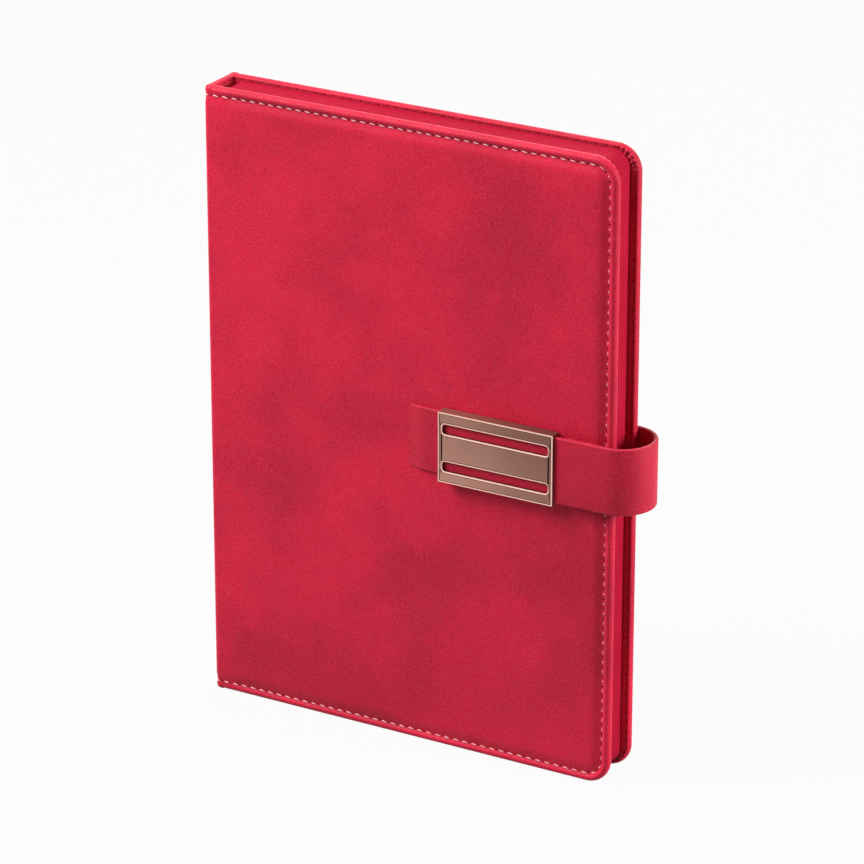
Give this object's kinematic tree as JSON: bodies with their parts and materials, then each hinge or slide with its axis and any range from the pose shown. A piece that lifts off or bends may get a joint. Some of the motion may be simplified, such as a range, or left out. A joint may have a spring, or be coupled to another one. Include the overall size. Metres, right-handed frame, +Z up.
{
  "type": "diary with strap clasp",
  "caption": "Padded imitation-leather diary with a flat spine and dyed page edges, held shut by a leather strap with a slotted metal clasp.",
  "frame": {"origin": "under the middle of the whole object, on the surface that its tail stands on", "axes": "+X from the spine to the fore-edge, +Y from the front cover to the back cover, +Z up to the head"},
  "size_m": [0.1604, 0.0238, 0.213],
  "materials": {
    "cover_leather": "satin",
    "strap_leather": "satin",
    "padding": "matte",
    "grey_board": "matte",
    "lining_paper": "matte",
    "page_paper": "matte",
    "gauze": "matte",
    "bronze": "satin",
    "steel": "satin",
    "magnet": "matte"
  },
  "bodies": {
    "back_case": {"back_leather": "cover_leather", "back_foam": "padding", "back_board": "grey_board", "back_lining": "lining_paper", "spine_leather": "cover_leather", "spine_board": "grey_board", "spine_lining": "lining_paper", "rear_mull": "gauze", "section_4": "page_paper", "section_5": "page_paper", "section_6": "page_paper", "back_flyleaf": "page_paper", "strap_root": "strap_leather"},
    "front_cover": {"front_leather": "cover_leather", "front_foam": "padding", "front_board": "grey_board", "front_lining": "lining_paper", "clasp_tab": "strap_leather", "tab_keeper": "steel"},
    "front_pages": {"front_flyleaf": "page_paper", "section_1": "page_paper", "section_2": "page_paper", "section_3": "page_paper", "front_mull": "gauze"},
    "strap_side": {"strap_side": "strap_leather"},
    "strap_front": {"strap_front": "strap_leather", "clasp_frame": "bronze", "clasp_backplate": "steel", "clasp_magnet": "magnet", "clasp_pins": "steel"}
  },
  "joints": [
    {"name": "cover_hinge", "type": "hinge", "parent": "back_case", "child": "front_cover", "pos_m": [-0.079, -0.00735, 0.1065], "axis": [0, 0, -1], "range_deg": [0, 175]},
    {"name": "pages_open", "type": "hinge", "parent": "back_case", "child": "front_pages", "pos_m": [-0.0733, -0.00105, 0.1065], "axis": [0, 0, -1], "range_deg": [0, 101.5]},
    {"name": "strap_back_bend", "type": "hinge", "parent": "back_case", "child": "strap_side", "pos_m": [0.07703, 0.00868, 0.108], "axis": [0, 0, 1], "range_deg": [0, 90]},
    {"name": "strap_front_bend", "type": "hinge", "parent": "strap_side", "child": "strap_front", "pos_m": [0.07703, -0.00758, 0.108], "axis": [0, 0, 1], "range_deg": [0, 90]}
  ],
  "couplings": [
    {"joint": "pages_open", "follows": "cover_hinge", "ratio": 0.58}
  ]
}
